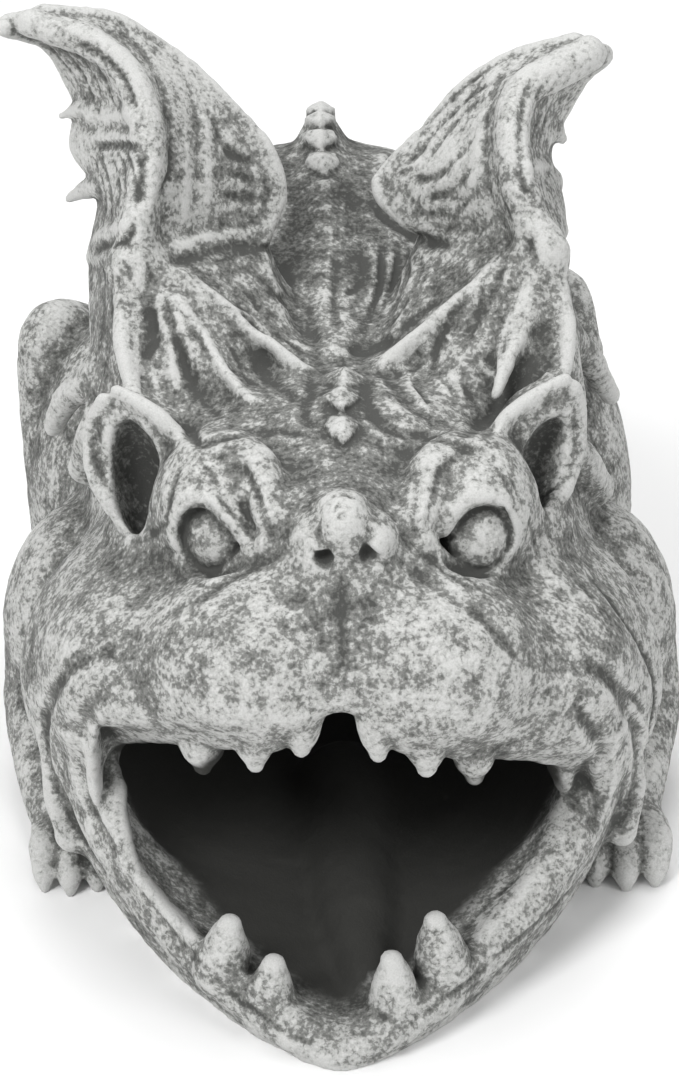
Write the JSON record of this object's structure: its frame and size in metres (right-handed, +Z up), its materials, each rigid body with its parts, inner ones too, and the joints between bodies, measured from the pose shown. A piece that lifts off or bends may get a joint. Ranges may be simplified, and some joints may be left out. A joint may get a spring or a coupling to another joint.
{
  "type": "garden downspout gargoyle",
  "caption": "Crouching winged gargoyle, cast hollow, that lies at the foot of a gutter downspout and pours the rain water out of its open mouth.",
  "frame": {"origin": "middle of the bounding box, on the ground it lies on", "axes": "+Z up; the mouth faces -Y and the downspout enters from +Y; +X is towards the beast's own left, a viewer's right when looking into the mouth"},
  "size_m": [0.2793, 0.4001, 0.314],
  "materials": {
    "cast_stone": "matt grey, dry-brushed pale on the high places and dark in the hollows"
  },
  "bodies": {
    "root": {"gargoyle": "cast_stone"}
  },
  "joints": []
}
